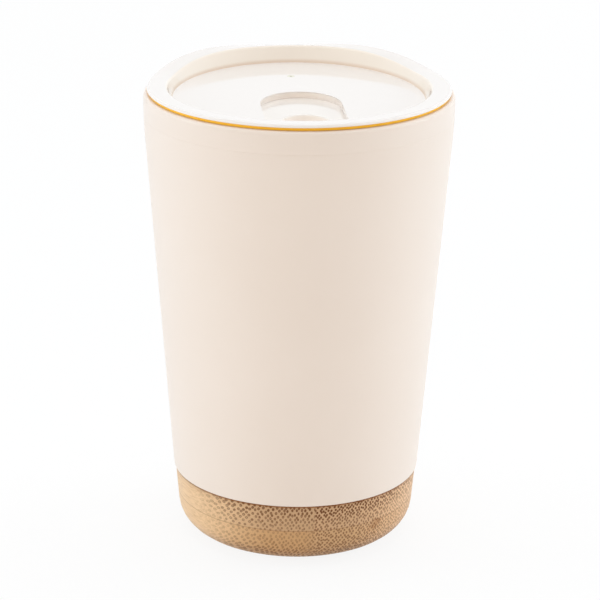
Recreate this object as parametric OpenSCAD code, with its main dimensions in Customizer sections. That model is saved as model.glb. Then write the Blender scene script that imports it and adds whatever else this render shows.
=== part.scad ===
// Double-wall drinking tumbler with a turned bamboo base and a press-in lid.
// Millimetres, +Z up, origin at the centre of the underside, drinking side towards -Y.

/* [Cup] */
// Diameter over the rim of the cup
rim_d = 86; // [82:0.5:94]
// Height of the rim above the table
cup_h = 128.7; // [115:0.1:145]
// Diameter of the painted shell where it meets the bamboo base
seam_d = 70; // [66:0.5:74]
// Height below the rim at which the tapered wall turns upright
band_h = 7.7; // [6.5:0.1:11]
// Thickness of the steel sheet of the outer shell
shell_t = 0.6; // [0.4:0.05:0.8]
// Radius rolled on the lower edge of the shell
shell_edge_r = 0.5; // [0.2:0.1:0.6]

/* [Rim collar] */
// Height of the skirt that laps over the outside of the shell
collar_skirt_h = 6.1; // [4:0.1:8]
// Thickness of the outer skirt of the collar
collar_t = 1.1; // [0.8:0.1:1.6]
// Thickness of the inner skirt of the collar
collar_inner_t = 1.2; // [0.8:0.1:1.8]
// Thickness of the collar over the steel edge
collar_top_t = 1.5; // [1.2:0.1:2.5]
// Radius of the drinking lip
lip_r = 1; // [0.4:0.1:1.1]
// Edge broken on each side of the seam between shell and collar
seam_break = 0.15; // [0.05:0.05:0.3]

/* [Liner] */
// Thickness of the steel sheet of the liner
liner_t = 0.5; // [0.3:0.05:0.7]
// Width of the vacuum space between shell and liner
vacuum_gap = 2.9; // [2.2:0.1:3.6]
// Inside radius of the corner between wall and floor
liner_corner_r = 14; // [11:0.5:15]
// Height above the base at which that corner runs out
liner_corner_rise = 8.4; // [7.5:0.1:11]
// Thickness of the foil wrapped round the liner
foil_t = 0.15; // [0.1:0.05:0.3]
// Plain length of the liner left bare above and below the foil
foil_margin = 4; // [2:0.5:10]

/* [Vessel bottom] */
// Length of the upturned flange of the welded bottom cap
cap_flange_h = 3.2; // [2:0.1:5]
// Diameter of the raised centre of the bottom cap
cap_dish_d = 26; // [18:1:34]
// Height of that raised centre
cap_dish_h = 1; // [0.5:0.1:1.4]
// Diameter of the hole through which the air was drawn out
port_d = 2.4; // [1.5:0.1:4]
// Diameter of the getter cup under the liner
getter_d = 10; // [6:0.5:14]
// Height of the getter cup
getter_h = 1.8; // [1:0.1:2.2]

/* [Bamboo base] */
// Height of the bamboo base up to the seam
base_h = 19.1; // [16:0.1:23]
// How far the bamboo stands back from the shell at the seam
base_step = 0.4; // [0:0.1:1]
// Taper of the bamboo wall, in degrees from upright
base_draft = 5; // [2:0.5:8]
// Radius turned on the bottom edge
base_fillet_r = 9; // [6:0.5:12]
// Thickness of the bamboo wall at the seam
base_wall_t = 3.2; // [2.6:0.1:4]
// Thickness of the bamboo under the steel vessel
base_floor_t = 4.9; // [4:0.1:6.5]
// Radius broken on the top edge of the bamboo
base_edge_r = 0.4; // [0.2:0.1:0.8]
// Thickness of the bonding ring between steel and bamboo
bond_t = 0.8; // [0.5:0.1:1.2]
// Width of the bonding ring
bond_w = 7; // [4:0.5:8]
// Mean diameter of the foot ring
foot_d = 40; // [34:0.5:42]
// Width of the foot ring
foot_w = 4; // [3:0.5:5.5]
// Thickness of the foot ring
foot_t = 1.2; // [0.8:0.1:2]
// How far the foot ring stands out of the bamboo
foot_proud = 0.3; // [0.1:0.1:0.6]

/* [Lid] */
// How far the lid stands back from the outside of the rim
lid_inset = 0.95; // [0.4:0.05:1.6]
// Thickness of the low part of the lid's rim
lid_rim_t = 0.85; // [0.8:0.05:2]
// Fall of the lid's rim from its outer to its inner edge
lid_rim_fall = 0.25; // [0.1:0.05:0.6]
// Width of the lid's rim at its low part
lid_rim_w = 5.5; // [4.8:0.1:6.5]
// Extra height of the raised rim at the back
raised_h = 2.45; // [1.5:0.05:4]
// Depth of the thumb dip in the outer edge of the raised rim
dip_depth = 0.8; // [0.3:0.1:1.2]
// Width of the thumb dip at that edge
dip_w = 37; // [24:1:44]
// Slope of the dip towards the back, in degrees
dip_tilt = 5.5; // [3:0.1:7]
// Depth of the well's floor below the underside of the rim, at the centre
well_depth = 3; // [2.2:0.1:4]
// Slope of the well's floor towards the drinking side, in degrees
floor_tilt = 2.3; // [0:0.1:3]
// Draft of the well's wall, in degrees from upright
well_draft = 24; // [10:1:28]
// Thickness of the well's floor
web_t = 1.8; // [1.4:0.1:2.4]
// Depth of the plug below the underside of the rim
plug_depth = 11.7; // [11.5:0.1:16]
// Thickness of the plug's wall
plug_t = 1.7; // [1.2:0.1:2.2]
// Radius on the outer edge of the lid's rim
lid_edge_r = 0.7; // [0.3:0.05:0.75]

/* [Lid seal] */
// Thickness of the seal between rim and lid
seal_t = 0.9; // [0.6:0.1:1.6]
// How far the seal stands back from the edge of the lid
seal_inset = 0.5; // [0.2:0.1:1.2]
// Gap between the plug and the mouth that the seal fills
seal_gap = 1.3; // [1:0.1:1.8]
// Thickness of the seal's sleeve
sleeve_t = 0.65; // [0.4:0.05:0.8]
// Length of the sleeve below the underside of the rim
sleeve_h = 8.8; // [7:0.1:9.5]
// Height of each sealing fin where it leaves the sleeve
fin_h = 1.5; // [0.8:0.1:2]

/* [Shutter] */
// Width of the window in the well's floor
window_w = 23.4; // [20:0.2:26]
// Distance of the window's round back end behind the lid's centre
window_back = 7; // [5:0.5:10]
// Land between the window's front edge and the well's wall
window_land = 2.3; // [1.8:0.1:4]
// Radius of the window's front corners
window_corner_r = 4; // [2:0.5:7]
// Lap of the shutter under the edge of the window
shutter_lap = 2; // [1.2:0.1:2.2]
// Thickness of the shutter
shutter_t = 2.6; // [2.2:0.1:3]
// Diameter of the finger dimple
dimple_d = 13.4; // [9:0.2:14]
// Depth of the finger dimple
dimple_depth = 1.6; // [0.8:0.1:1.8]
// Distance of the dimple's centre behind the window's front edge
dimple_setback = 16.1; // [14:0.1:17]
// Width of the drinking hole
hole_w = 16; // [12:0.5:18]
// Length of the drinking hole along the shutter's travel
hole_l = 6.4; // [5:0.1:7.5]
// Thickness of the tray under the shutter
tray_t = 2; // [1.5:0.1:2.4]
// Diameter of the vent hole
vent_d = 1.5; // [1:0.1:2.4]

/* [Hidden] */
$fn = 120;

// Points on each curved stretch of a profile
curve_steps = 8;
// Running clearance of the seals and of the shutter
seal_run = 0.05;
slide_run = 0.1;
// Slack of the foil on the liner
foil_slack = 0.15;
// Wall, core radius and groove depth of the getter cup, as shares of its size
getter_wall_share = 0.1;
getter_core_share = 0.25;
getter_groove_share = 0.25;
// Foot of the solder bead and inner edge of the lip, as shares of their radii
bead_foot_share = 2;
lip_inner_share = 0.7;
// How far every cut runs past the surface that it opens
over = 1;

rim_r = rim_d / 2;
seam_r = seam_d / 2;

// Tapered wall and the long curve that turns it upright under the rim
band_z = cup_h - band_h;
wall_slope_share = (rim_r - seam_r) / (band_z - base_h);
wall_angle = atan(wall_slope_share);
blend_share = 0.7;
blend_run = blend_share * band_h;
blend_r = blend_run / tan(wall_angle / 2);
blend_top = band_z + blend_run;
blend_bottom = blend_top - blend_r * sin(wall_angle);

// Heights and radii of the mouth, from the lid's plug outwards
lid_z = cup_h + seal_t;
plug_bottom = lid_z - plug_depth;
ledge_gap = 0.9;
ledge_z = plug_bottom - ledge_gap;
skirt_z = cup_h - collar_skirt_h;
weld_z = cup_h - collar_top_t;
neck_r = rim_r - collar_t;
liner_neck_r = neck_r - shell_t - liner_t;
mouth_r = liner_neck_r - collar_inner_t;

// Steel foot of the vessel inside the bamboo
tube_r = seam_r - base_step - base_wall_t;
tube_in_r = tube_r - shell_t;
vessel_z = foot_proud + base_floor_t + bond_t;
cap_corner_r = 1.2;
cap_slope_w = 2;

// Inside of the liner
liner_inset = shell_t + vacuum_gap + liner_t;
corner_z = base_h + liner_corner_rise;
liner_floor_z = corner_z - liner_corner_r;

// Outside of the bamboo
base_top_r = seam_r - base_step;
base_reach = base_top_r * cos(base_draft) - base_h * sin(base_draft);
fillet_z = foot_proud + base_fillet_r;
fillet_x = (base_reach - base_fillet_r + fillet_z * sin(base_draft)) / cos(base_draft);

// Lid
lid_r = rim_r - lid_inset;
plug_r = mouth_r - seal_gap;
cavity_r = plug_r - plug_t;
rim_fall_share = lid_rim_fall / (lid_rim_w - lid_edge_r);
low_top = lid_z + lid_rim_t;
high_top = low_top + raised_h;
well_top_r = lid_r - lid_rim_w;
well_top_z = low_top - lid_rim_fall;
floor_z = lid_z - well_depth;
dip_r = (pow(dip_w / 2, 2) + pow(dip_depth, 2)) / (2 * dip_depth);
// Where the raised rim starts and ends its climb, as shares of the lid's radius
ramp_start_share = 0.285;
ramp_end_share = 0.86;
// Height to which the climb is drawn, as a share of the raised rim's, so that it ends smoothly
ramp_rise_share = 1.02;
ramp_y = ramp_start_share * lid_r;
ramp_run = (ramp_end_share - ramp_start_share) * lid_r;
bead_h = 1.2;
sleeve_r = plug_r + sleeve_t;
sleeve_bottom = lid_z - sleeve_h;
fin_tip_t = 0.3;
// Heights of the two fins on the sleeve, as shares of its length
fin_low_share = 0.27;
fin_high_share = 0.6;

// Stack under the well's floor, each level taken on the lid's axis
web_under = floor_z - web_t;
shutter_top = web_under - slide_run;
shutter_under = shutter_top - shutter_t;
pad_proud = 0.4;
pad_sunk = 0.6;
tray_top = shutter_under - pad_proud;
tray_under = tray_top - tray_t;

// Window and shutter share the same centres
window_r = window_w / 2;
back_y = window_back - window_r;
well_front_z = floor_z - well_top_r * tan(floor_tilt);
well_front_r = well_top_r - (well_top_z - well_front_z) * tan(well_draft);
window_front = well_front_r - window_land;
hole_edge = 0.8;
hole_y = -(window_front - hole_edge - hole_l / 2);
hole_lap = 1.1;
shutter_travel = shutter_lap + hole_edge + hole_l + hole_lap;
dimple_y = -(window_front - dimple_setback);
dimple_draft_share = 0.87;
pad_rim = 2;
boss_wall = 1.25;
boss_gap = 0.4;
boss_r = vent_d / 2 + boss_wall;
vent_y = window_back + shutter_lap + shutter_travel + boss_gap + boss_r;
rib_t = 1.2;
rail_w = 1.2;
rail_gap = 0.6;
rail_x = hole_w / 2 + pad_rim + rail_gap;

// Room for the largest half-space cut
span = rim_d + cup_h;

function wall_cone(z) = seam_r + (z - base_h) * wall_slope_share;

// Outer radius of the cup at height z
function wall_x(z) =
    z >= blend_top ? rim_r :
    z <= blend_bottom ? wall_cone(z) :
    rim_r - blend_r + sqrt(pow(blend_r, 2) - pow(blend_top - z, 2));

// Points up the outer wall from z0 to z1, drawn in by inset
function wall_run(z0, z1, inset) = concat(
    [[wall_x(z0) - inset, z0]],
    [for (i = [0:curve_steps])
        let (z = blend_bottom + (blend_top - blend_bottom) * i / curve_steps)
        if (z > z0 && z < z1) [wall_x(z) - inset, z]],
    [[wall_x(z1) - inset, z1]]);

function reversed(points) = [for (i = [len(points) - 1:-1:0]) points[i]];

// Points on an arc about [cx, cz] from angle a0 to a1
function arc(cx, cz, r, a0, a1) =
    [for (i = [0:curve_steps])
        let (a = a0 + (a1 - a0) * i / curve_steps)
        [cx + r * cos(a), cz + r * sin(a)]];

// Cross-section from radius r0 to r1 and height z0 to z1
module band_2d(r0, r1, z0, z1) {
    translate([r0, z0]) square([r1 - r0, z1 - z0]);
}

// Half-spaces bounded by a plane that slopes like the well's floor
module above_plane(z0) {
    translate([0, 0, z0]) rotate([floor_tilt, 0, 0])
        translate([-span, -span, 0]) cube([2 * span, 2 * span, span]);
}

module below_plane(z0) {
    translate([0, 0, z0]) rotate([floor_tilt, 0, 0])
        translate([-span, -span, -span]) cube([2 * span, 2 * span, span]);
}

// Upright prism of a flat shape, kept between two sloping planes
module sloped_plate(z0, z1) {
    intersection() {
        translate([0, 0, z0 - cavity_r]) linear_extrude(z1 - z0 + 2 * cavity_r) children();
        above_plane(z0);
        below_plane(z1);
    }
}

// Outline with a round back end and two rounded front corners, grown by lap
module tongue_2d(lap) {
    corner_x = window_r - window_corner_r;
    corner_y = window_front - window_corner_r;
    translate([0, back_y]) circle(window_r + lap);
    translate([-window_r - lap, -corner_y]) square([window_w + 2 * lap, corner_y + back_y]);
    translate([-corner_x, -window_front - lap])
        square([2 * corner_x, window_front + lap + back_y]);
    for (side = [-1, 1])
        translate([side * corner_x, -corner_y]) circle(window_corner_r + lap);
}

// Slot with round ends across the drinking side, grown by rim
module hole_2d(rim) {
    end_r = hole_l / 2;
    end_x = hole_w / 2 - end_r;
    translate([0, hole_y]) {
        translate([-end_x, -end_r - rim]) square([2 * end_x, hole_l + 2 * rim]);
        for (side = [-1, 1]) translate([side * end_x, 0]) circle(end_r + rim);
    }
}

// Outer steel wall: tapered, necked at the mouth and drawn in for the base
module outer_shell() {
    corner_z = base_h + shell_edge_r;
    color([0.91, 0.85, 0.78])
    rotate_extrude() polygon(concat(
        [[tube_in_r, vessel_z], [tube_r, vessel_z], [tube_r, base_h]],
        arc(wall_cone(corner_z) - shell_edge_r / cos(wall_angle), corner_z, shell_edge_r,
            -90, -wall_angle),
        wall_run(corner_z + shell_edge_r, skirt_z - seam_break, 0),
        [[wall_x(skirt_z) - seam_break, skirt_z], [neck_r, skirt_z], [neck_r, weld_z],
            [neck_r - shell_t, weld_z], [neck_r - shell_t, skirt_z - shell_t]],
        reversed(wall_run(base_h + shell_t, skirt_z - shell_t, shell_t)),
        [[tube_in_r, base_h + shell_t]]));
}

// Pressed cap welded into the foot of the shell, with a raised centre
module bottom_cap() {
    dish_r = cap_dish_d / 2;
    lower = [[dish_r, vessel_z + cap_dish_h], [dish_r + cap_slope_w, vessel_z]];
    color([0.72, 0.72, 0.73])
    rotate_extrude() polygon(concat(
        [[port_d / 2, vessel_z + cap_dish_h]],
        lower,
        arc(tube_in_r - cap_corner_r, vessel_z + cap_corner_r, cap_corner_r, -90, 0),
        [[tube_in_r, vessel_z + cap_flange_h], [tube_in_r - shell_t, vessel_z + cap_flange_h]],
        arc(tube_in_r - cap_corner_r, vessel_z + cap_corner_r, cap_corner_r - shell_t, 0, -90),
        [for (p = reversed(lower)) [p[0], p[1] + shell_t]],
        [[port_d / 2, vessel_z + cap_dish_h + shell_t]]));
}

// Bead of solder glass that closes the port after the air is drawn out
module vacuum_plug() {
    bead_r = bead_foot_share * port_d / 2;
    bead_drop = cap_dish_h / 2;
    color([0.5, 0.55, 0.5])
    translate([0, 0, vessel_z + cap_dish_h - bead_drop]) {
        cylinder(r = port_d / 2, h = bead_drop + shell_t);
        cylinder(r1 = port_d / 2, r2 = bead_r, h = bead_drop);
    }
}

// Inner steel wall: one drawn cup with a ledge and an upright neck
module liner_2d(grow) {
    wall_in = liner_inset - grow;
    step_z = ledge_z - grow;
    corner_r = liner_corner_r + grow;
    polygon(concat(
        [[0, liner_floor_z - grow]],
        arc(wall_cone(corner_z) - wall_in - corner_r / cos(wall_angle), corner_z, corner_r,
            -90, -wall_angle),
        [[wall_cone(step_z) - wall_in, step_z], [liner_neck_r + grow, step_z],
            [liner_neck_r + grow, weld_z], [0, weld_z]]));
}

module inner_liner() {
    color([0.78, 0.78, 0.79])
    rotate_extrude() difference() {
        liner_2d(liner_t);
        liner_2d(0);
        band_2d(0, liner_neck_r, weld_z - over, weld_z + over);
    }
}

// Bright foil wrapped round the liner inside the vacuum
module heat_foil() {
    z0 = corner_z + foil_margin;
    z1 = ledge_z - liner_t - foil_margin;
    back = liner_inset - liner_t - foil_slack;
    color([0.85, 0.83, 0.8])
    rotate_extrude() polygon([
        [wall_cone(z0) - back, z0], [wall_cone(z0) - back + foil_t, z0],
        [wall_cone(z1) - back + foil_t, z1], [wall_cone(z1) - back, z1]]);
}

// Small cup of gas-absorbing metal spot-welded under the liner
module getter() {
    groove_h = over + getter_groove_share * getter_h;
    top = liner_floor_z - liner_t;
    color([0.45, 0.45, 0.46])
    translate([0, 0, top - getter_h]) difference() {
        cylinder(d = getter_d, h = getter_h);
        translate([0, 0, -over]) difference() {
            cylinder(r = getter_d / 2 - getter_wall_share * getter_d, h = groove_h);
            cylinder(r = getter_core_share * getter_d, h = groove_h);
        }
    }
}

// Moulded ring that caps the steel edge and lines the mouth
module rim_collar() {
    inner_edge_r = lip_inner_share * lip_r;
    color([0.92, 0.87, 0.8])
    rotate_extrude() polygon(concat(
        [[wall_x(skirt_z) - seam_break, skirt_z]],
        wall_run(skirt_z + seam_break, cup_h - lip_r, 0),
        arc(rim_r - lip_r, cup_h - lip_r, lip_r, 0, 90),
        arc(mouth_r + inner_edge_r, cup_h - inner_edge_r, inner_edge_r, 90, 180),
        [[mouth_r, ledge_z], [liner_neck_r, ledge_z], [liner_neck_r, weld_z],
            [neck_r, weld_z], [neck_r, skirt_z]]));
}

// Turned bamboo cup that the steel foot is bonded into
module bamboo_base() {
    foot_r = foot_d / 2;
    top_x = base_top_r - base_edge_r;
    color([0.74, 0.6, 0.47])
    rotate_extrude() difference() {
        polygon(concat(
            [[0, foot_proud]],
            arc(fillet_x, fillet_z, base_fillet_r, -90, -base_draft),
            arc(top_x - base_edge_r * sin(base_draft), base_h - base_edge_r, base_edge_r,
                -base_draft, 90),
            [[tube_r, base_h], [tube_r, vessel_z - bond_t], [0, vessel_z - bond_t]]));
        band_2d(foot_r - foot_w / 2, foot_r + foot_w / 2, foot_proud - over, foot_t);
    }
}

// Ring of bonding silicone between the bottom cap and the bamboo
module bond_ring() {
    outer = tube_in_r - cap_corner_r - shell_t;
    color([0.8, 0.8, 0.78])
    rotate_extrude() band_2d(outer - bond_w, outer, vessel_z - bond_t, vessel_z);
}

// Soft ring let into the underside so that the cup does not slip
module foot_ring() {
    foot_r = foot_d / 2;
    color([0.85, 0.62, 0.25])
    rotate_extrude() band_2d(foot_r - foot_w / 2, foot_r + foot_w / 2, 0, foot_t);
}

// Half section of the lid before the well and the cavity are cut
module lid_blank_2d() {
    polygon(concat(
        [[0, plug_bottom], [plug_r, plug_bottom], [plug_r, lid_z], [lid_r, lid_z]],
        arc(lid_r - lid_edge_r, high_top - lid_edge_r, lid_edge_r, 0, 90),
        [[well_top_r, high_top - lid_rim_fall], [0, high_top - lid_rim_fall]]));
}

// Half section of the space over the low part of the rim
module rim_space_2d() {
    inner_z = well_top_z - over * rim_fall_share;
    polygon(concat(
        [[lid_r + over, low_top - lid_edge_r]],
        arc(lid_r - lid_edge_r, low_top - lid_edge_r, lid_edge_r, 0, 90),
        [[well_top_r - over, inner_z], [0, inner_z], [0, high_top + over],
            [lid_r + over, high_top + over]]));
}

// Side view of the room in front of the raised rim, whose edge climbs in an S-curve
module ramp_2d() {
    climb = ramp_rise_share * (raised_h + lid_rim_fall);
    polygon(concat(
        [[-lid_r - over, high_top + 2 * over], [-lid_r - over, lid_z], [ramp_y, lid_z]],
        [for (i = [0:2 * curve_steps])
            let (t = i / (2 * curve_steps))
            [ramp_y + t * ramp_run, well_top_z + climb * t * t * (3 - 2 * t)]],
        [[ramp_y + ramp_run, high_top + 2 * over]]));
}

// Upper moulding of the lid: rim, dished well, plug wall and window
module lid_top() {
    well_drop = well_top_z - plug_bottom;
    well_rise = raised_h + lid_rim_fall + over;
    color([0.97, 0.97, 0.96])
    union() {
        difference() {
            union() {
                rotate_extrude() lid_blank_2d();
                rotate_extrude() band_2d(plug_r - plug_t, sleeve_r, sleeve_bottom - bead_h,
                    sleeve_bottom);
            }
            intersection() {
                rotate_extrude() rim_space_2d();
                rotate([90, 0, 90]) translate([0, 0, -lid_r - 2 * over])
                    linear_extrude(2 * (lid_r + 2 * over)) ramp_2d();
            }
            translate([0, lid_r, high_top - dip_depth]) rotate([-dip_tilt, 0, 0])
                translate([0, 0, dip_r]) rotate([-90, 0, 0])
                    cylinder(r = dip_r, h = 4 * lid_rim_w, center = true, $fn = 6 * $fn);
            intersection() {
                translate([0, 0, plug_bottom]) cylinder(
                    r1 = well_top_r - well_drop * tan(well_draft),
                    r2 = well_top_r + well_rise * tan(well_draft),
                    h = well_drop + well_rise);
                above_plane(floor_z);
            }
            intersection() {
                translate([0, 0, plug_bottom - over]) cylinder(r = cavity_r, h = plug_depth);
                below_plane(web_under);
            }
            translate([0, 0, plug_bottom]) linear_extrude(plug_depth) tongue_2d(0);
            translate([0, vent_y, plug_bottom]) cylinder(d = vent_d, h = plug_depth);
        }
        sloped_plate(tray_top, floor_z) translate([0, vent_y]) difference() {
            circle(boss_r);
            circle(d = vent_d);
        }
    }
}

// Lower moulding of the lid: floor under the shutter with its guides
module lid_tray() {
    guide_x = window_r + shutter_lap + slide_run;
    guide_front = window_front - window_corner_r - slide_run;
    guide_back = window_back + shutter_travel;
    color([0.95, 0.95, 0.94])
    difference() {
        union() {
            sloped_plate(tray_under, tray_top) circle(cavity_r);
            intersection() {
                translate([0, 0, plug_bottom]) difference() {
                    cylinder(r = cavity_r, h = plug_depth);
                    translate([0, 0, -over])
                        cylinder(r = cavity_r - rib_t, h = plug_depth + 2 * over);
                }
                below_plane(tray_top);
            }
            sloped_plate(tray_under, web_under) for (side = [-1, 1])
                translate([side * (guide_x + rib_t / 2) - rib_t / 2, -guide_front])
                    square([rib_t, guide_front + guide_back]);
            sloped_plate(tray_under, shutter_under - slide_run) for (side = [-1, 1])
                translate([side * (rail_x + rail_w / 2) - rail_w / 2, hole_y])
                    square([rail_w, guide_back - hole_y]);
        }
        translate([0, 0, plug_bottom - over]) linear_extrude(plug_depth) hole_2d(0);
        translate([0, vent_y, plug_bottom - over]) cylinder(d = vent_d, h = plug_depth);
    }
}

// Soft seal: a flange under the lid's rim and a sleeve with two fins
module lid_seal() {
    fin_r = mouth_r - seal_run;
    color([0.91, 0.63, 0.24])
    rotate_extrude() {
        band_2d(plug_r, lid_r - seal_inset, cup_h + seal_run, lid_z);
        band_2d(plug_r, sleeve_r, sleeve_bottom, lid_z);
        for (share = [fin_low_share, fin_high_share])
            translate([0, sleeve_bottom + share * (sleeve_h - seal_t)])
                polygon([[plug_r, -fin_h / 2], [sleeve_r, -fin_h / 2],
                    [fin_r, fin_h / 2 - fin_tip_t], [fin_r, fin_h / 2], [plug_r, fin_h / 2]]);
    }
}

// Sliding shutter that closes the drinking hole, with its finger dimple
module shutter() {
    dimple_r = dimple_d / 2;
    color([0.97, 0.96, 0.94])
    difference() {
        sloped_plate(shutter_under, shutter_top) tongue_2d(shutter_lap);
        intersection() {
            translate([0, dimple_y, shutter_top - shutter_t]) cylinder(
                r1 = dimple_r * dimple_draft_share, r2 = dimple_r, h = shutter_t);
            above_plane(shutter_top - dimple_depth);
        }
        sloped_plate(shutter_under - over, shutter_under + pad_sunk) hole_2d(pad_rim);
    }
}

// Soft pad in the underside of the shutter that covers the drinking hole
module shutter_seal() {
    color([0.91, 0.63, 0.24])
    sloped_plate(tray_top + seal_run, shutter_under + pad_sunk) hole_2d(pad_rim);
}

outer_shell();
bottom_cap();
vacuum_plug();
inner_liner();
heat_foil();
getter();
rim_collar();
bamboo_base();
bond_ring();
foot_ring();
lid_top();
lid_tray();
lid_seal();
shutter();
shutter_seal();
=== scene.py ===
"""Looks of a double-wall tumbler with a bamboo base and a press-in lid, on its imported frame."""

import math

import bmesh
import bpy
from mathutils import Matrix, Vector


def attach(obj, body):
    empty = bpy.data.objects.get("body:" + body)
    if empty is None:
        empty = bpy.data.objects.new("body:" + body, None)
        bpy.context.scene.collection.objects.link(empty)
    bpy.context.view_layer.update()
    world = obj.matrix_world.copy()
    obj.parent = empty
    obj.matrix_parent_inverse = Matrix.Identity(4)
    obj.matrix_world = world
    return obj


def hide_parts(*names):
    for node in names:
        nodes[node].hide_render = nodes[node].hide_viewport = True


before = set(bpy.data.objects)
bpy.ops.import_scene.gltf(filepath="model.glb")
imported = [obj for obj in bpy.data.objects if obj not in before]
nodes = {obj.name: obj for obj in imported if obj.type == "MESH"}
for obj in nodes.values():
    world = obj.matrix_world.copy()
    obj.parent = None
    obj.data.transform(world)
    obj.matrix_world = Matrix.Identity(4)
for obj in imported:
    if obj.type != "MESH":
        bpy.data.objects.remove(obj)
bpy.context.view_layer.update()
MM = 0.001


# Outer shell: a drawn steel cup that tapers to the base. It is powder coated in warm ivory,
# which leaves a satin skin with a very fine orange peel.

class Tone:
    """A number that changes over a surface. Sums of it add Math nodes."""

    def __init__(self, finish, socket):
        self.finish = finish
        self.socket = socket

    def worked(self, operation, first, second=0.0):
        return Tone(self.finish, self.finish.add(
            "ShaderNodeMath", {"operation": operation}, {0: first, 1: second}).outputs[0])

    def __add__(self, other):
        return self.worked("ADD", self, other)

    def __sub__(self, other):
        return self.worked("SUBTRACT", self, other)

    def __rsub__(self, other):
        return self.worked("SUBTRACT", other, self)

    def __mul__(self, other):
        return self.worked("MULTIPLY", self, other)

    def __truediv__(self, other):
        return self.worked("DIVIDE", self, other)

    def __pow__(self, other):
        return self.worked("POWER", self, other)

    __radd__ = __add__
    __rmul__ = __mul__

    def band(self, low, high):
        """0 at low and 1 at high, with a soft step between, rising or falling."""
        up = self.finish.add("ShaderNodeMapRange", {"interpolation_type": "SMOOTHSTEP"}, {
            "Value": self, "From Min": min(low, high), "From Max": max(low, high)})
        risen = Tone(self.finish, up.outputs["Result"])
        return risen if low < high else 1 - risen


class Finish:
    """The nodes of one finish: its main shader, and what varies it."""

    def __init__(self, owner, shader, **fixed):
        owner.use_nodes = True
        self.owner = owner
        self.tree = owner.node_tree
        self.shader = self.tree.nodes[shader]
        for socket, value in fixed.items():
            self.shader.inputs[socket.replace("_", " ")].default_value = value

    def add(self, kind, settings, sockets):
        """A node of that kind, its settings set first, then its sockets' values and links."""
        node = self.tree.nodes.new(kind)
        for setting, value in settings.items():
            setattr(node, setting, value)
        for socket, value in sockets.items():
            self.join(value, node.inputs[socket])
        return node

    def join(self, value, socket):
        value = value.socket if isinstance(value, Tone) else value
        if isinstance(value, bpy.types.NodeSocket):
            self.tree.links.new(value, socket)
        else:
            socket.default_value = value

    def feed(self, **sockets):
        """Links what varies into the main shader."""
        for socket, value in sockets.items():
            self.join(value, self.shader.inputs[socket.replace("_", " ")])

    def place(self, turn=(0, 0, 0), stretch=(1, 1, 1)):
        """Object coordinates in metres, turned and stretched for a pattern."""
        here = self.add("ShaderNodeTexCoord", {}, {}).outputs["Object"]
        return self.add("ShaderNodeMapping", {}, {
            "Vector": here, "Rotation": turn, "Scale": stretch}).outputs[0]

    def point(self, *parts):
        return self.add("ShaderNodeCombineXYZ", {}, dict(enumerate(parts))).outputs[0]

    def parts(self, vector):
        split = self.add("ShaderNodeSeparateXYZ", {}, {0: vector})
        return [Tone(self, part) for part in split.outputs]

    def grain(self, vector, size, detail=2.0, roughness=0.5):
        """Smooth noise whose blotches are about that size."""
        noise = self.add("ShaderNodeTexNoise", {}, {
            "Vector": vector, "Scale": 1 / size, "Detail": detail, "Roughness": roughness})
        return Tone(self, noise.outputs[0])

    def cells(self, vector, size, feature="F1"):
        """Distance from the nearest of many scattered points, in cells of that size."""
        near = self.add("ShaderNodeTexVoronoi", {"feature": feature}, {
            "Vector": vector, "Scale": 1 / size})
        return Tone(self, near.outputs["Distance"])

    def blend(self, share, low, high):
        """Colour low where share is 0 and high where it is 1."""
        return self.add("ShaderNodeMix", {"data_type": "RGBA"}, {
            0: share, 6: low, 7: high}).outputs[2]

    def relief(self, height, depth):
        """Raises the surface by a height of 0 to 1 times that depth in metres."""
        bump = self.add("ShaderNodeBump", {}, {"Height": height, "Distance": depth})
        self.feed(Normal=bump.outputs[0])

    def on(self, *pieces):
        for piece in pieces:
            if not piece.material_slots:
                piece.data.materials.append(self.owner)
            for slot in piece.material_slots:
                slot.material = self.owner


def coat(name, **fixed):
    """A new material with a plain shader to vary."""
    return Finish(bpy.data.materials.new(name), "Principled BSDF", **fixed)


def shade(r, g, b):
    """A colour given as it looks on a screen, 0 to 255, for a shader socket."""
    return tuple((c / 255 / 12.92 if c < 10.3 else ((c / 255 + 0.055) / 1.055) ** 2.4)
                 for c in (r, g, b)) + (1.0,)


IVORY = shade(244, 230, 219)
IVORY_DEEP = shade(241, 226, 214)

shell_coat = coat("shell_coat")
peel = shell_coat.grain(shell_coat.place(), 0.9 * MM)
cloud = shell_coat.grain(shell_coat.place(), 30 * MM, 3.0)
shell_coat.feed(Base_Color=shell_coat.blend(cloud, IVORY_DEEP, IVORY), Roughness=0.38 + 0.08 * peel)
shell_coat.relief(peel, 0.012 * MM)
shell_coat.on(nodes["outer_shell"])


# Bottom cap: a pressed steel disc welded into the foot of the shell. It keeps the dull skin of
# the mill, with fine rolling lines all one way.

cap_steel = coat("cap_steel", Metallic=1.0)
mottle = cap_steel.grain(cap_steel.place(), 4 * MM, 3.0)
rolled = cap_steel.grain(cap_steel.place(stretch=(0.04, 1, 1)), 0.2 * MM, 3.0, 0.6)
cap_steel.feed(Base_Color=cap_steel.blend(mottle, shade(188, 188, 190), shade(208, 208, 207)),
               Roughness=0.28 + 0.18 * rolled)
cap_steel.relief(rolled, 0.006 * MM)
cap_steel.on(nodes["bottom_cap"])


# Vacuum plug: a bead of solder glass melted into the port of the cap once the air is drawn
# out. It sets dark green-grey and shiny, with tiny bubbles.

solder_glass = coat("solder_glass", IOR=1.6)
bubbles = solder_glass.cells(solder_glass.place(), 0.3 * MM).band(0.3, 0.1)
swirl = solder_glass.grain(solder_glass.place(), 0.8 * MM, 3.0)
solder_glass.feed(Base_Color=solder_glass.blend(swirl, shade(62, 74, 66), shade(92, 106, 92)),
                  Roughness=0.08 + 0.2 * bubbles)
solder_glass.relief(bubbles, 0.02 * MM)
solder_glass.on(nodes["vacuum_plug"])


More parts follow.
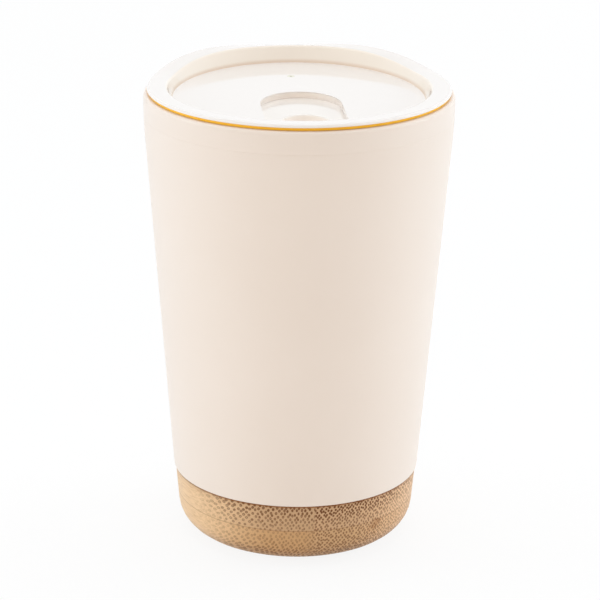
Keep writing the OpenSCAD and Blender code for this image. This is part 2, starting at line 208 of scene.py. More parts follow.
# Liner: the drawn stainless cup that holds the drink, brushed while it turned, so its fine
# lines run round it.

liner_steel = coat("liner_steel", Metallic=1.0)
x, y, z = liner_steel.parts(liner_steel.place())
round_lines = liner_steel.point((x * x + y * y) ** 0.5, z, 0.0)
brushed = liner_steel.grain(round_lines, 0.22 * MM, 4.0, 0.7)
worn = liner_steel.grain(liner_steel.place(), 9 * MM, 3.0)
liner_steel.feed(Base_Color=liner_steel.blend(brushed, shade(222, 222, 224), shade(240, 239, 236)),
                 Roughness=0.24 + 0.16 * brushed + 0.08 * worn)
liner_steel.relief(brushed, 0.008 * MM)
liner_steel.on(nodes["inner_liner"])


# Heat foil: bright aluminium foil wrapped round the liner by hand, so it keeps small creases.

foil = coat("foil", Metallic=1.0)
crease = foil.cells(foil.place(stretch=(1, 1, 0.6)), 6 * MM, "DISTANCE_TO_EDGE").band(0.0, 0.16)
crumple = foil.grain(foil.place(), 3 * MM, 4.0, 0.6)
foil.feed(Base_Color=foil.blend(crumple, shade(222, 221, 219), shade(238, 237, 235)),
          Roughness=0.16 + 0.14 * crumple)
foil.relief(0.6 * crease + 0.4 * crumple, 0.12 * MM)
foil.on(nodes["heat_foil"])


# Getter: a small steel cup of sintered powder that takes up the last gas. The powder is dark
# and grainy.

sinter = coat("sinter", Metallic=1.0)
powder = sinter.cells(sinter.place(), 0.16 * MM)
sinter.feed(Base_Color=sinter.blend(powder, shade(96, 95, 96), shade(150, 149, 148)),
            Roughness=0.5 + 0.25 * powder)
sinter.relief(powder, 0.03 * MM)
sinter.on(nodes["getter"])


# Rim collar: a moulded ring in the shell's ivory, pushed over the steel edge. It makes the
# drinking lip and lines the mouth, and is a touch glossier than the coated shell.

# Radii, heights and roundings of turned pieces are in millimetres
COLLAR_R = 43.0
COLLAR_TOP = 128.7
LINING_R = 39.6
LINING_LOW = 117.0
STEEL_IN = 40.8
STEEL_OUT = 41.9
STEEL_TOP = 127.2
SEAM = (42.925, 122.48)
LIP_ROUND = 1.0
MOUTH_ROUND = 0.7
SEAM_ROUND = 0.04

# Points nearer than this count as on the same spot, or are merged
SAME_SPOT = 0.01
MERGED = 0.002
SHARP_FROM = math.radians(34)


def turned(mesh, profile, closed, steps=192):
    """Spins a profile of (radius, height) in millimetres round the cup's axis."""
    path = [mesh.verts.new((radius * MM, 0, height * MM)) for radius, height in profile]
    lines = [mesh.edges.new(ends) for ends in zip(path, path[1:] + (path[:1] if closed else []))]
    bmesh.ops.spin(mesh, geom=path + lines, cent=(0, 0, 0), axis=(0, 0, 1),
                   angle=2 * math.pi, steps=steps, use_merge=True)


def off_axis(v):
    """How far a point is from the cup's axis."""
    return math.hypot(v.co.x, v.co.y)


def rings(mesh, *spots):
    """The edges that run round the axis at each (radius, height) in millimetres."""
    def at(v, radius, height):
        return (abs(off_axis(v) - radius * MM) < SAME_SPOT * MM
                and abs(v.co.z - height * MM) < SAME_SPOT * MM)
    return [e for e in mesh.edges if any(all(at(v, *spot) for v in e.verts) for spot in spots)]


def rounded(mesh, edges, offset, segments=4):
    """Rounds edges over that many millimetres of each face beside them."""
    bmesh.ops.bevel(mesh, geom=edges, offset=offset * MM, offset_type="OFFSET", segments=segments,
                    profile=0.5, affect="EDGES", material=-1, clamp_overlap=False)


def made(mesh, name, body, slot, *stands_for):
    """Closes a mesh into a smooth-shaded piece that stands for CAD nodes and rides on a body."""
    bmesh.ops.remove_doubles(mesh, verts=mesh.verts, dist=MERGED * MM)
    bmesh.ops.recalc_face_normals(mesh, faces=mesh.faces)
    data = bpy.data.meshes.new(name)
    mesh.to_mesh(data)
    mesh.free()
    data.shade_smooth()
    data.set_sharp_from_angle(angle=SHARP_FROM)
    piece = bpy.data.objects.new(name, data)
    bpy.context.scene.collection.objects.link(piece)
    piece.modifiers.new("flat_faces_stay_flat", "WEIGHTED_NORMAL").keep_sharp = True
    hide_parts(*stands_for)
    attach(piece, body)
    return piece


collar = bmesh.new()
turned(collar, [
    (STEEL_OUT, 122.6), (42.79, 122.61), SEAM, (42.952, 122.75), (42.974, 123.7),
    (42.993, 125.05), (COLLAR_R, 126.4), (COLLAR_R, COLLAR_TOP), (LINING_R, COLLAR_TOP),
    (LINING_R, LINING_LOW), (STEEL_IN, LINING_LOW), (STEEL_IN, STEEL_TOP),
    (STEEL_OUT, STEEL_TOP)], closed=True)
rounded(collar, rings(collar, (COLLAR_R, COLLAR_TOP)), LIP_ROUND, 10)
rounded(collar, rings(collar, (LINING_R, COLLAR_TOP)), MOUTH_ROUND, 8)
rounded(collar, rings(collar, SEAM), SEAM_ROUND, 3)
collar_ring = made(collar, "collar_ring", "cup", "collar_plastic", "rim_collar")

collar_plastic = coat("collar_plastic")
cloud = collar_plastic.grain(collar_plastic.place(), 24 * MM, 3.0)
fine = collar_plastic.grain(collar_plastic.place(), 0.5 * MM)
collar_plastic.feed(Base_Color=collar_plastic.blend(cloud, IVORY_DEEP, IVORY),
                    Roughness=0.3 + 0.06 * fine)
collar_plastic.relief(fine, 0.004 * MM)
collar_plastic.on(collar_ring)


# Bamboo base: a cup turned from a block of glued bamboo strips and rubbed with oil. The strips
# run across the cup, so their cut ends show their fibre bundles as rows of dark rings at the
# front and back, and the sides show long streaks.

GRAIN_TURN = math.radians(-18.5)
STRIP_W = 24.7 * MM
STRIP_EDGE = -8.8 * MM
LAYER_H = 7.8 * MM
LAYER_EDGE = 11.3 * MM
BASE_TOP = 19.1 * MM
ROW_TURN = math.radians(45)

# How far apart the fibre bundles of a strip stand, across and up, and how loosely
WIDE_ROWS = (0.81 * MM, 1.3 * MM, 0.45)
CLOSE_ROWS = (0.78 * MM, 0.98 * MM, 0.55)
STAIN_AT = (20.0 * MM, -27.6 * MM, 9.9 * MM)

bamboo = coat("bamboo", IOR=1.33)
wander = bamboo.add("ShaderNodeTexNoise", {}, {
    "Vector": bamboo.place(), "Scale": 1 / (9 * MM), "Detail": 1.0}).outputs["Color"]
drift = bamboo.add("ShaderNodeVectorMath", {"operation": "SCALE"}, {0: wander, "Scale": 1.1 * MM})
bent = bamboo.add("ShaderNodeVectorMath", {"operation": "ADD"}, {
    0: bamboo.place(turn=(0, 0, GRAIN_TURN)), 1: drift.outputs[0]}).outputs[0]
across, along, up = bamboo.parts(bent)
height = bamboo.parts(bamboo.place())[2]

strip = (across - STRIP_EDGE) / STRIP_W
layer = (height - LAYER_EDGE) / LAYER_H
luck = bamboo.add("ShaderNodeTexWhiteNoise", {"noise_dimensions": "2D"}, {
    "Vector": bamboo.point(strip.worked("FLOOR", strip), layer.worked("FLOOR", layer), 0.0)})
own = Tone(bamboo, luck.outputs["Value"])
skin = layer.worked("PINGPONG", layer, 1.0)
upper = layer.band(-0.02, 0.02)


def bundles(apart, high, loose):
    """How far the nearest fibre bundle is, and its chance. They stand in staggered rows."""
    rows = bamboo.add("ShaderNodeMapping", {}, {
        "Vector": bamboo.point(across / apart, up / high, 0.0), "Rotation": (0, 0, ROW_TURN)})
    near = bamboo.add("ShaderNodeTexVoronoi", {"voronoi_dimensions": "2D"}, {
        "Vector": rows.outputs[0], "Scale": 1.0, "Randomness": loose})
    return Tone(bamboo, near.outputs["Distance"]), Tone(bamboo, near.outputs["Color"])


right_end = across.band(7 * MM, 24 * MM)
wide, chance = bundles(*WIDE_ROWS)
close = bundles(*CLOSE_ROWS)[0]
patchy = bamboo.grain(bamboo.place(), 2.4 * MM, 1.0)
reach = 0.3 + 0.07 * skin + 0.1 * (patchy - 0.5)
hollow = wide.band(0.2, 0.1) * chance.band(0.35, 0.6) * (1 - 0.6 * skin)
wide_ring = (reach - wide).band(-0.04, 0.04) * (1 - 0.75 * hollow)
close_dot = (reach + 0.04 - close).band(-0.05, 0.05) * (1 - 0.35 * right_end)
close_side = (upper * across.band(STRIP_EDGE - 0.4 * MM, STRIP_EDGE + 0.4 * MM)
              + (1 - upper) * across.band(STRIP_EDGE - 3 * MM, STRIP_EDGE + 2 * MM))
cut_ends = along.worked("ABSOLUTE", along).band(2 * MM, 24 * MM)
wide_ring *= upper * (0.6 + 0.4 * skin) + (1 - upper) * (0.42 + 0.33 * skin ** 2)
close_dot *= 0.7 + 0.3 * height.band(13 * MM, 17 * MM)
marks = (wide_ring * (1 - close_side) + close_dot * close_side) * cut_ends

streak = bamboo.grain(bamboo.point(across, up, along * 0.03), 0.32 * MM, 3.0, 0.6)
joint = skin.band(0.03, 0.0) + 0.3 * strip.worked(
    "ABSOLUTE", strip - strip.worked("ROUND", strip)).band(0.005, 0.0) * cut_ends
tone = 0.6 * bamboo.grain(bamboo.place(), 15 * MM) + 0.4 * own
ground = bamboo.blend(tone, shade(205, 168, 129), shade(220, 184, 144))
ground = bamboo.blend(0.8 * (1 - upper) * (1 - 0.6 * close_side), ground, shade(213, 169, 120))
# Paler towards the left end: painted light of the left lamp, over the paler side grain there.
ground = bamboo.blend(across.band(-19 * MM, -33 * MM), ground, shade(244, 207, 163))
# Paler from the middle to the right end: painted light of the right lamp, over the paler side
# grain.
ground = bamboo.blend(0.6 * across.band(0.0, 14 * MM) + 0.4 * right_end, ground,
                      shade(242, 200, 158))
ground = bamboo.blend(0.3 * upper * close_side * (1 - right_end), ground, shade(206, 158, 118))
ground = bamboo.blend(0.15 * (1 - upper) * cut_ends, ground, shade(196, 140, 76))
ground = bamboo.blend(0.15 * upper * cut_ends * (1 - close_side), ground, shade(176, 128, 84))
ground = bamboo.blend(0.5 * streak.band(0.35, 0.75), ground, shade(192, 150, 108))
ground = bamboo.blend(0.4 * skin.band(0.7, 1.05), ground, shade(168, 128, 92))
from_stain = bamboo.add("ShaderNodeVectorMath", {"operation": "DISTANCE"}, {
    0: bamboo.place(), 1: STAIN_AT})
stain = (Tone(bamboo, from_stain.outputs["Value"]) + 6 * MM * patchy).band(5.8 * MM, 3.6 * MM)
ground = bamboo.blend(0.55 * stain, ground, shade(165, 112, 62))
ground = bamboo.blend(0.42 * joint, ground, shade(140, 92, 52))
ground = bamboo.blend(0.9 * marks, ground, shade(102, 52, 6))
# Painted shadow of the shell's overhang: the bamboo's top edge is darkened brown just under the
# shell.
edge = height.band(BASE_TOP - 0.65 * MM, BASE_TOP - 0.3 * MM)
bamboo.feed(Base_Color=bamboo.blend(0.75 * edge, ground, shade(140, 88, 48)),
            Roughness=0.42 + 0.16 * marks)
bamboo.relief(1 - 0.7 * marks - 0.2 * streak - 0.4 * joint, 0.04 * MM)
bamboo.on(nodes["bamboo_base"])


# Bonding ring: a bead of clear silicone that was pressed flat when the steel foot was set down
# into the bamboo.

bond_silicone = coat("bond_silicone", IOR=1.42)
squeezed = bond_silicone.grain(bond_silicone.place(), 2.5 * MM, 2.0)
bond_silicone.feed(
    Base_Color=bond_silicone.blend(squeezed, shade(218, 217, 210), shade(234, 233, 228)),
    Roughness=0.3 + 0.15 * squeezed)
bond_silicone.relief(squeezed, 0.05 * MM)
bond_silicone.on(nodes["bond_ring"])


# Foot ring: a soft ring of cast silicone, pressed into a groove of the bamboo so that the cup
# does not slip. Its lower edges are rounded by the mould.

FOOT_IN = 18
FOOT_OUT = 22
FOOT_T = 1.2
FOOT_ROUND = 0.25

ring = bmesh.new()
turned(ring, [(FOOT_IN, 0), (FOOT_OUT, 0), (FOOT_OUT, FOOT_T), (FOOT_IN, FOOT_T)], closed=True)
rounded(ring, rings(ring, (FOOT_IN, 0), (FOOT_OUT, 0)), FOOT_ROUND)
foot = made(ring, "foot_pad", "cup", "foot_silicone", "foot_ring")

foot_silicone = coat("foot_silicone", IOR=1.42)
haze = foot_silicone.grain(foot_silicone.place(), 1.2 * MM, 3.0)
foot_silicone.feed(Base_Color=foot_silicone.blend(haze, shade(222, 166, 76), shade(232, 180, 92)),
                   Roughness=0.5 + 0.15 * haze)
foot_silicone.relief(haze, 0.02 * MM)
foot_silicone.on(foot)


# Lid: one glossy white moulding. Its flat rim sweeps up to a raised thumb rim with a shallow
# dip. The dished well slopes to the drinking side, and holds a vent at the back and a window
# over the shutter. Below it a plug wall goes into the mouth. Its colour holds painted warm shade
# on the well's wall, darker painted shade in the well's crease, painted light on all below the
# well's floor, the window's wall among it, and a ring of painted shade round the vent.

RIM_R = 42.05
WELL_R = 36.55
CAVITY_R = 36.6
PLUG_R = 38.3
FLANGE_Z = 129.6
RIM_Z = 130.45
WELL_Z = 130.2
RAISED = 2.45
PLUG_Z = 117.9
BEAD_R = 38.95
BEAD_LOW = 119.6
BEAD_TOP = 120.8
WELL_DRAFT = math.tan(math.radians(24))
SLOPE = math.tan(math.radians(2.3))
FLOOR_Z = 126.6
WEB_Z = 124.8
BOSS_Z = 121.7
BOSS_R = 2.0
VENT_Y = 21.7
VENT_R = 0.75

# Half width, front end, back end, and the radii of the front and back corners
WINDOW = (11.7, -31.99, 7.0, 4.0, 11.7)
WINDOW_UNDER = (11.4, -31.69, 6.7, 3.7, 11.4)

WEB_STRIP = 0.8
FLOOR_STRIP = 0.5
RIM_ROUND = 0.66
WELL_ROUND = 0.55
LOW_ROUND = 0.12
WINDOW_ROUND = 0.45
VENT_ROUND = 0.5
FLOOR_ROUND = 0.15
CORNER_FROM = 0.9
CLIMB_FROM = 12.0
CLIMB_TO = 36.2
LEVEL_EDGE = 0.15
DIP = 0.8
DIP_INSIDE = 0.05
DIP_REACH = 22.0


def sloped(verts, level):
    """Sets points on a plane that slopes as the well's floor does."""
    for v in verts:
        v.co.z = level * MM + SLOPE * v.co.y


def outline(mesh, half_w, front, back, front_r, back_r, wide):
    """A flat face, a rectangle with rounded corners, with a band of that width round it."""
    before = set(mesh.faces)
    corners = [mesh.verts.new((px * MM, py * MM, 0)) for px, py in (
        (-half_w - wide, front - wide), (half_w + wide, front - wide),
        (half_w + wide, back + wide), (-half_w - wide, back + wide))]
    mesh.faces.new(corners)
    for pair, radius in ((corners[:2], front_r), (corners[2:], back_r)):
        bmesh.ops.bevel(mesh, geom=pair, offset=(radius + wide) * MM, offset_type="OFFSET",
                        segments=24, profile=0.5, affect="VERTICES", material=-1,
                        clamp_overlap=False)
    face = [f for f in mesh.faces if f not in before][0]
    bmesh.ops.remove_doubles(mesh, verts=face.verts, dist=0.02 * MM)
    return banded(mesh, [f for f in mesh.faces if f not in before][0], wide)


def disc(mesh, y, radius, wide, segments=48):
    """A flat round face, with a band of that width round it."""
    before = set(mesh.faces)
    bmesh.ops.create_circle(mesh, cap_ends=True, radius=(radius + wide) * MM, segments=segments,
                            matrix=Matrix.Translation((0, y * MM, 0)))
    return banded(mesh, [f for f in mesh.faces if f not in before][0], wide)


def banded(mesh, face, wide):
    """Insets a flat face, and gives all its points, the band's outer edges, and the face."""
    band = bmesh.ops.inset_individual(mesh, faces=[face], thickness=wide * MM,
                                      use_even_offset=True)["faces"]
    outer = {e for f in band for e in f.edges if len(e.link_faces) == 1}
    return {v for f in band for v in f.verts}, list(outer), face


def opened(mesh, face):
    """Takes a flat face out, and gives the edges round the hole."""
    edges = list(face.edges)
    bmesh.ops.delete(mesh, geom=[face], context="FACES_ONLY")
    return edges


def on_slope(v, level):
    """Whether a point lies on the sloping plane of that level."""
    return abs(v.co.z - level * MM - SLOPE * v.co.y) < SAME_SPOT * MM


def open_ring(mesh, radius, level, slack=1.2):
    """The open edges of a turned wall about that radius that lie on a sloping plane."""
    return [e for e in mesh.edges if len(e.link_faces) == 1 and all(
        abs(off_axis(v) - radius * MM) < slack * MM and on_slope(v, level) for v in e.verts)]


lid = bmesh.new()
well_foot = WELL_R - (WELL_Z - FLOOR_Z) * WELL_DRAFT
turned(lid, [
    (CAVITY_R - WEB_STRIP, WEB_Z), (CAVITY_R, WEB_Z), (CAVITY_R, PLUG_Z), (PLUG_R, PLUG_Z),
    (PLUG_R, BEAD_LOW), (BEAD_R, BEAD_LOW), (BEAD_R, BEAD_TOP), (PLUG_R, BEAD_TOP),
    (PLUG_R, FLANGE_Z), (RIM_R, FLANGE_Z), (RIM_R, RIM_Z), (WELL_R, WELL_Z),
    (well_foot, FLOOR_Z), (well_foot - FLOOR_STRIP, FLOOR_Z)], closed=False)

rounded(lid, rings(lid, (RIM_R, RIM_Z)), RIM_ROUND, 8)
rounded(lid, rings(lid, (WELL_R, WELL_Z)), WELL_ROUND, 8)
low_rims = rings(lid, (RIM_R, FLANGE_Z), (CAVITY_R, PLUG_Z), (PLUG_R, PLUG_Z))
rounded(lid, low_rims, LOW_ROUND, 3)

foot_rings = rings(lid, (well_foot, FLOOR_Z), (well_foot - FLOOR_STRIP, FLOOR_Z))
for v in {v for e in foot_rings for v in e.verts}:
    spread = 1 / (1 - SLOPE * WELL_DRAFT * v.co.y / off_axis(v))
    v.co.x *= spread
    v.co.y *= spread
    v.co.z = FLOOR_Z * MM + SLOPE * v.co.y
web_rings = rings(lid, (CAVITY_R - WEB_STRIP, WEB_Z), (CAVITY_R, WEB_Z))
sloped({v for e in web_rings for v in e.verts}, WEB_Z)
floor_open = open_ring(lid, well_foot - FLOOR_STRIP, FLOOR_Z)
web_open = open_ring(lid, CAVITY_R - WEB_STRIP, WEB_Z)

for v in lid.verts:
    radius = off_axis(v) / MM
    on_rim = radius > BEAD_R
    if v.co.z > (FLANGE_Z + (LEVEL_EDGE if on_rim else 0.0)) * MM:
        inward = min(1.0, max(0.0, (RIM_R - RIM_ROUND - radius)
                              / (RIM_R - RIM_ROUND - WELL_R - WELL_ROUND)))
        t = min(1.0, max(0.0, (v.co.y / MM - CLIMB_FROM) / (CLIMB_TO - CLIMB_FROM)))
        climb = RAISED * t * t * (3 - 2 * t)
        if v.co.y > 0 and abs(v.co.x) < DIP_REACH * MM:
            bow = math.cos(math.pi * v.co.x / (2 * DIP_REACH * MM)) ** 2
            climb -= (DIP * (1 - inward) + DIP_INSIDE) * bow
        v.co.z += climb * MM
        spread = 1 + inward * climb * WELL_DRAFT / radius
        v.co.x *= spread
        v.co.y *= spread

window_top, window_out, hole = outline(lid, *WINDOW, 0.5)
vent_top, vent_out, vent = disc(lid, VENT_Y, VENT_R, 0.6)
window_edge, vent_edge = opened(lid, hole), opened(lid, vent)
sloped(window_top | vent_top, FLOOR_Z)
bmesh.ops.triangle_fill(lid, use_beauty=True, normal=(0, 0, 1),
                        edges=floor_open + window_out + vent_out)

window_low, window_out, hole = outline(lid, *WINDOW_UNDER, 0.8)
boss_root, boss_out, boss = disc(lid, VENT_Y, BOSS_R, 0.5)
window_under, boss_edge = opened(lid, hole), opened(lid, boss)
sloped(window_low | boss_root, WEB_Z)
bmesh.ops.triangle_fill(lid, use_beauty=True, normal=(0, 0, -1),
                        edges=web_open + window_out + boss_out)

boss_foot, boss_foot_out, bore = disc(lid, VENT_Y, VENT_R, BOSS_R - VENT_R)
bore_edge = opened(lid, bore)
sloped(boss_foot, BOSS_Z)
bmesh.ops.bridge_loops(lid, edges=window_edge + window_under)
bmesh.ops.bridge_loops(lid, edges=boss_edge + boss_foot_out)
bmesh.ops.bridge_loops(lid, edges=vent_edge + bore_edge)
rounded(lid, window_edge, WINDOW_ROUND, 6)
rounded(lid, vent_edge, VENT_ROUND, 5)
bmesh.ops.recalc_face_normals(lid, faces=lid.faces)
well_corner = [
    e for e in lid.edges if len(e.link_faces) == 2 and e.calc_face_angle() > CORNER_FROM
    and all(on_slope(v, FLOOR_Z) and off_axis(v) > (well_foot - 1) * MM for v in e.verts)]
rounded(lid, well_corner, FLOOR_ROUND, 4)
lid_piece = made(lid, "lid_moulding", "lid", "lid_plastic", "lid_top")

lid_plastic = coat("lid_plastic", IOR=1.52, Coat_Weight=1.0, Coat_Roughness=0.02)
haze = lid_plastic.grain(lid_plastic.place(), 1.5 * MM)
sink = lid_plastic.grain(lid_plastic.place(), 14 * MM)
side, depth, level = lid_plastic.parts(lid_plastic.place())
above = level - FLOOR_Z * MM - SLOPE * depth
off_wall = ((side * side + depth * depth) ** 0.5 - WELL_R * MM
            + WELL_DRAFT * (WELL_Z * MM - level))
wall = above.band(0.0, 0.08 * MM) * off_wall.band(0.5 * MM, 0.1 * MM)
from_vent = (side * side + (depth - VENT_Y * MM) ** 2) ** 0.5
# A ring of painted shade round the vent hole, darker and yellowish.
painted_vent_shade = from_vent.band((VENT_R + 0.5) * MM, (VENT_R + 0.2) * MM)
white = lid_plastic.blend(haze, shade(245, 239, 235), shade(247, 241, 237))
# Painted warm shade: the well's wall is tinted peach, as its shaded face looks.
white = lid_plastic.blend(0.65 * wall, white, shade(255, 241, 223))
# Painted shade in the crease: the lowest part of the well's wall is darkened towards the floor.
painted_crease_shade = 0.8 * wall * above.band(1.3 * MM, 0.1 * MM)
white = lid_plastic.blend(painted_crease_shade, white, shade(230, 203, 178))
# Painted light: all below the well's floor, the window's wall among it, is made whiter to offset
# its shade.
white = lid_plastic.blend(above.band(-0.1 * MM, -1.0 * MM), white, shade(255, 245, 237))
lid_plastic.feed(Base_Color=lid_plastic.blend(painted_vent_shade, white, shade(232, 229, 205)),
                 Roughness=0.08 + 0.05 * haze)
lid_plastic.relief(0.25 * haze + 0.75 * sink, 0.012 * MM)
lid_plastic.on(lid_piece)


# Tray: the lower white moulding that snaps into the lid and carries the shutter between its
# guides. It has the drinking hole, and a plainer, less polished surface.

tray_plastic = coat("tray_plastic", IOR=1.49)
haze = tray_plastic.grain(tray_plastic.place(), 0.8 * MM)
tray_plastic.feed(Base_Color=tray_plastic.blend(haze, shade(243, 242, 239), shade(247, 246, 243)),
                  Roughness=0.24 + 0.08 * haze)
tray_plastic.relief(haze, 0.006 * MM)
tray_plastic.on(nodes["lid_tray"])


# Lid seal: a honey-coloured silicone ring stretched round the plug. Its flange shows as a thin
# line between lid and rim, and two soft fins press on the mouth.

SEAL_R = 41.55
SEAL_Z = 128.75
SLEEVE_R = 38.95
SLEEVE_Z = 120.8
FIN_R = 39.55
SEAL_ROUND = 0.2
SOFT_EDGE = 0.1

# Heights of each fin's root, and of the lower and upper edge of its tip
FINS = ((122.183, 123.383, 123.683), (124.79, 125.99, 126.29))

fin_path = []
for root, low, high in FINS:
    fin_path += [(SLEEVE_R, root), (FIN_R, low), (FIN_R, high), (SLEEVE_R, high)]
fin_tips = [spot for spot in fin_path if spot[0] == FIN_R]

seal = bmesh.new()
turned(seal, [
    (PLUG_R, SLEEVE_Z), (SLEEVE_R, SLEEVE_Z), *fin_path, (SLEEVE_R, SEAL_Z),
    (SEAL_R, SEAL_Z), (SEAL_R, FLANGE_Z), (PLUG_R, FLANGE_Z)], closed=True)
rounded(seal, rings(seal, *fin_tips), SOFT_EDGE, 3)
rounded(seal, rings(seal, (SEAL_R, FLANGE_Z)), SEAL_ROUND, 4)
rounded(seal, rings(seal, (SEAL_R, SEAL_Z)), SOFT_EDGE, 3)
seal_piece = made(seal, "lid_seal_ring", "lid", "seal_silicone", "lid_seal")

seal_silicone = coat("seal_silicone", IOR=1.42)
haze = seal_silicone.grain(seal_silicone.place(), 0.9 * MM, 3.0)
seal_silicone.feed(Base_Color=seal_silicone.blend(haze, shade(255, 191, 46), shade(255, 200, 62)),
                   Roughness=0.45 + 0.12 * haze)
seal_silicone.relief(haze, 0.01 * MM)
seal_silicone.on(seal_piece)


# Shutter: a glossy white slider under the window, with a round dimple for the fingertip, whose
# wall carries a painted warm shade. A recess in its underside holds the soft pad that closes the
# drinking hole.

SHUTTER_TOP = 124.79
SHUTTER_LOW = 122.1
SHUTTER_ROUND = 0.25
DIMPLE_Y = -15.89
DIMPLE_R = 6.7
DIMPLE_DRAFT = 0.87
DIMPLE_DEPTH = 1.6
DIMPLE_ROUND = 0.35
DIMPLE_FOOT_ROUND = 0.6
PAD_DEPTH = 0.6

# Outlines, given as the window's is
SHUTTER_FACE = (12.7, -32.99, 8.0, 5.0, 12.7)
SHUTTER_UNDER = (13.4, -33.69, 8.7, 5.7, 13.4)
PAD_FACE = (10.0, -33.19, -22.79, 5.2, 5.2)


def sunk(mesh, face, draft, depth):
    """Moves a flat face down by that depth, drawn in by the draft, and gives its edges."""
    face.normal_update()
    bmesh.ops.inset_individual(mesh, faces=[face], thickness=draft * MM, use_even_offset=True,
                               depth=(-depth if face.normal.z > 0 else depth) * MM)
    return list(face.edges)


slider = bmesh.new()
top, top_out, inside = outline(slider, *SHUTTER_FACE, 1.0)
top_in = opened(slider, inside)
dimple, dimple_out, finger_spot = disc(slider, DIMPLE_Y, DIMPLE_R, 0.8, segments=96)
dimple_edge = list(finger_spot.edges)
sloped(top | dimple, SHUTTER_TOP)
bmesh.ops.triangle_fill(slider, use_beauty=True, normal=(0, 0, 1), edges=top_in + dimple_out)
dimple_foot = sunk(slider, finger_spot, DIMPLE_DRAFT, DIMPLE_DEPTH)
sunk(slider, finger_spot, 1.6, 0.0)

low, low_out, inside = outline(slider, *SHUTTER_UNDER, 0.3)
low_in = opened(slider, inside)
recess, recess_out, pad_seat = outline(slider, *PAD_FACE, 0.3)
sloped(low | recess, SHUTTER_LOW)
bmesh.ops.triangle_fill(slider, use_beauty=True, normal=(0, 0, -1), edges=low_in + recess_out)
sunk(slider, pad_seat, 0.0, -PAD_DEPTH)
bmesh.ops.bridge_loops(slider, edges=top_out + low_out)
rounded(slider, top_out, SHUTTER_ROUND)
rounded(slider, dimple_edge, DIMPLE_ROUND, 5)
rounded(slider, dimple_foot, DIMPLE_FOOT_ROUND, 6)
shutter = made(slider, "shutter_slider", "shutter", "shutter_plastic", "shutter")

shutter_plastic = coat("shutter_plastic", IOR=1.52, Coat_Weight=1.0, Coat_Roughness=0.02)
haze = shutter_plastic.grain(shutter_plastic.place(), 1.2 * MM)
side, depth, level = shutter_plastic.parts(shutter_plastic.place())
from_dimple = (side * side + (depth - DIMPLE_Y * MM) ** 2) ** 0.5
# Painted warm shade on the upper part of the dimple's wall.
painted_dimple_shade = ((level - SHUTTER_TOP * MM - SLOPE * depth).band(-0.05 * MM, -0.4 * MM)
             * from_dimple.band((DIMPLE_R + 0.4) * MM, DIMPLE_R * MM)
             * from_dimple.band((DIMPLE_R - 2.4) * MM, (DIMPLE_R - 0.9) * MM))
white = shutter_plastic.blend(haze, shade(246, 239, 232), shade(249, 242, 235))
shutter_plastic.feed(
    Base_Color=shutter_plastic.blend(painted_dimple_shade, white, shade(255, 243, 232)),
    Roughness=0.1 + 0.05 * haze)
shutter_plastic.relief(haze, 0.004 * MM)
shutter_plastic.on(shutter)


# Shutter pad: a soft oval of the same honey silicone, pressed into the shutter's underside. It
# is matt, with the faint skin of its mould.

pad_silicone = coat("pad_silicone", IOR=1.42)
haze = pad_silicone.grain(pad_silicone.place(), 0.7 * MM, 3.0)
pad_silicone.feed(Base_Color=pad_silicone.blend(haze, shade(232, 160, 58), shade(240, 172, 72)),
                  Roughness=0.5 + 0.12 * haze)
pad_silicone.relief(haze, 0.01 * MM)
pad_silicone.on(nodes["shutter_seal"])


# Setting: a white paper floor under soft studio boxes, seen as plain white, and the camera at
# the photograph's place. The front light is warm and the side lights are cool.

PAPER_GLOW = 0.88
ROOM_LIGHT = 0.53
CUP_MIDDLE = Vector((0, 0, 0.08))

# The camera's place in metres and its turns in degrees
VIEW_FROM = (-0.07894, -0.69288, 0.30884)
VIEW_TURN = -6.566
VIEW_DOWN = 19.07
VIEW_ROLL = 0.637


def white_to_the_eye(finish):
    """1 for rays from the camera or off gloss or through glass, 0 for light that falls."""
    ray = finish.add("ShaderNodeLightPath", {}, {})
    return (Tone(finish, ray.outputs["Is Camera Ray"]) + Tone(finish, ray.outputs["Is Glossy Ray"])
            + Tone(finish, ray.outputs["Is Transmission Ray"]))


paper = bmesh.new()
bmesh.ops.create_grid(paper, x_segments=1, y_segments=1, size=3.0)
paper_mesh = bpy.data.meshes.new("floor")
paper.to_mesh(paper_mesh)
paper.free()
floor = bpy.data.objects.new("floor", paper_mesh)
bpy.context.scene.collection.objects.link(floor)

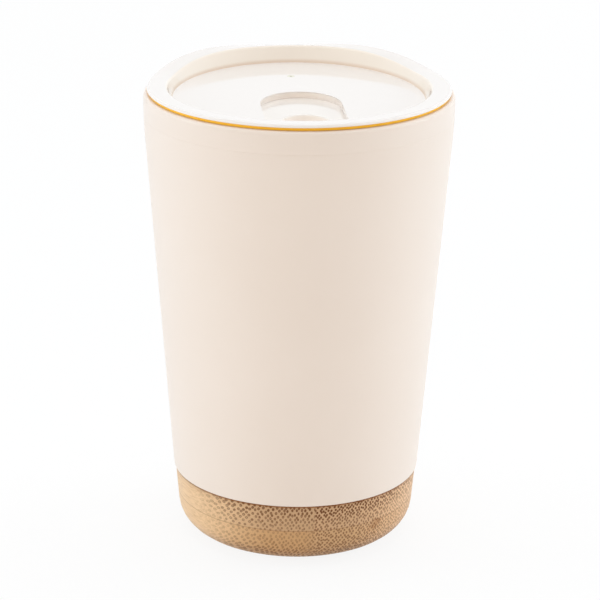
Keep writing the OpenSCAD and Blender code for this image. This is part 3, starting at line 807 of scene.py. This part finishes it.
floor_paper = coat("floor_paper", Base_Color=(0.93, 0.93, 0.93, 1.0), Roughness=1.0)
glow = floor_paper.add("ShaderNodeEmission", {}, {"Color": (1, 1, 1, 1), "Strength": 1.0})
shown = floor_paper.add("ShaderNodeMixShader", {}, {
    0: PAPER_GLOW * white_to_the_eye(floor_paper), 1: floor_paper.shader.outputs[0],
    2: glow.outputs[0]})
floor_paper.join(shown.outputs[0], floor_paper.tree.nodes["Material Output"].inputs[0])
floor_paper.on(floor)

room = bpy.data.worlds.new("studio")
bpy.context.scene.world = room
studio = Finish(room, "Background", Color=(1, 1, 1, 1))
studio.feed(Strength=ROOM_LIGHT + (1 - ROOM_LIGHT) * white_to_the_eye(studio))


def softbox(name, place, width, height, watts, colour):
    """A soft rectangular lamp that points at the middle of the cup."""
    light = bpy.data.lights.new(name, "AREA")
    light.shape = "RECTANGLE"
    light.size, light.size_y = width, height
    light.energy = watts
    light.color = colour
    box = bpy.data.objects.new(name, light)
    bpy.context.scene.collection.objects.link(box)
    aim = (CUP_MIDDLE - Vector(place)).to_track_quat("-Z", "Y")
    box.matrix_world = Matrix.Translation(place) @ aim.to_matrix().to_4x4()
    box.visible_glossy = False


softbox("overhead", (0, 0.2, 1.3), 1.2, 1.0, 6.5, (0.91, 0.96, 1.0))
softbox("left_box", (-1.0, 0.15, 0.15), 0.5, 0.9, 5.1, (0.76, 0.90, 1.0))
softbox("right_box", (1.0, 0.15, 0.15), 0.5, 0.9, 6.8, (0.79, 0.915, 1.0))
softbox("front_box", (-0.3, -1.3, 0.55), 1.0, 0.7, 3.3, (1.0, 0.83, 0.60))
softbox("back_box", (0.3, 1.3, 0.4), 1.0, 0.7, 2.5, (1.0, 1.0, 1.0))

camera_lens = bpy.data.cameras.new("camera")
camera_lens.sensor_width = 36.0
camera_lens.lens = 156.18
camera = bpy.data.objects.new("camera", camera_lens)
bpy.context.scene.collection.objects.link(camera)
camera.matrix_world = (Matrix.Translation(VIEW_FROM)
                       @ Matrix.Rotation(math.radians(VIEW_TURN), 4, "Z")
                       @ Matrix.Rotation(math.radians(90 - VIEW_DOWN), 4, "X")
                       @ Matrix.Rotation(math.radians(VIEW_ROLL), 4, "Z"))
bpy.context.scene.camera = camera
bpy.context.scene.view_settings.view_transform = "Standard"
